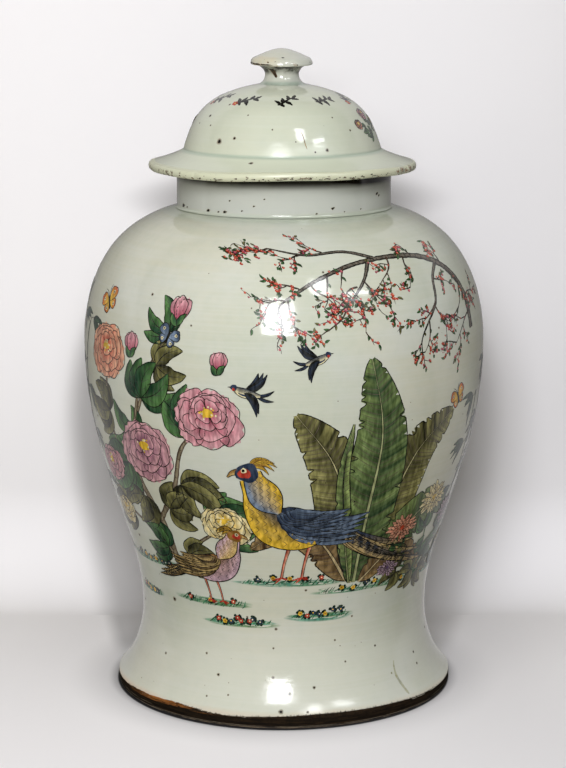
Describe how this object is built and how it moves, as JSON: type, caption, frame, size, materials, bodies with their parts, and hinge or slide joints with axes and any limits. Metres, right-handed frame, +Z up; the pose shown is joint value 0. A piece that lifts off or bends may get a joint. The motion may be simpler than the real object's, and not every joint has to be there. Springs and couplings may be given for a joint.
{
  "type": "covered baluster jar",
  "caption": "Tall covered baluster jar with a flared foot, swelling shoulder, short upright neck and a brimmed, domed cover with a mushroom knob.",
  "frame": {"origin": "centre of the foot, on the surface that the jar stands on", "axes": "+Z up along the turning axis, from the foot to the knob; the jar is round, so +X and +Y are alike"},
  "size_m": [0.2884, 0.2884, 0.46],
  "materials": {
    "celadon_glaze": "glossy pale grey-green glaze with iron specks",
    "bare_stoneware": "matt, unglazed, burnt dark brown",
    "overglaze_enamel": "thin glossy enamels over the glaze"
  },
  "bodies": {
    "jar": {"jar_lower_section": "celadon_glaze", "jar_belly_section": "celadon_glaze", "jar_shoulder_section": "celadon_glaze", "jar_neck_collar": "celadon_glaze"},
    "cover": {"cover_shell": "celadon_glaze", "cover_locating_flange": "bare_stoneware", "cover_knob": "celadon_glaze"}
  },
  "joints": [
    {"name": "cover_lift", "type": "slide", "parent": "jar", "child": "cover", "axis": [0, 0, 1], "range_m": [0, 0.12]}
  ]
}
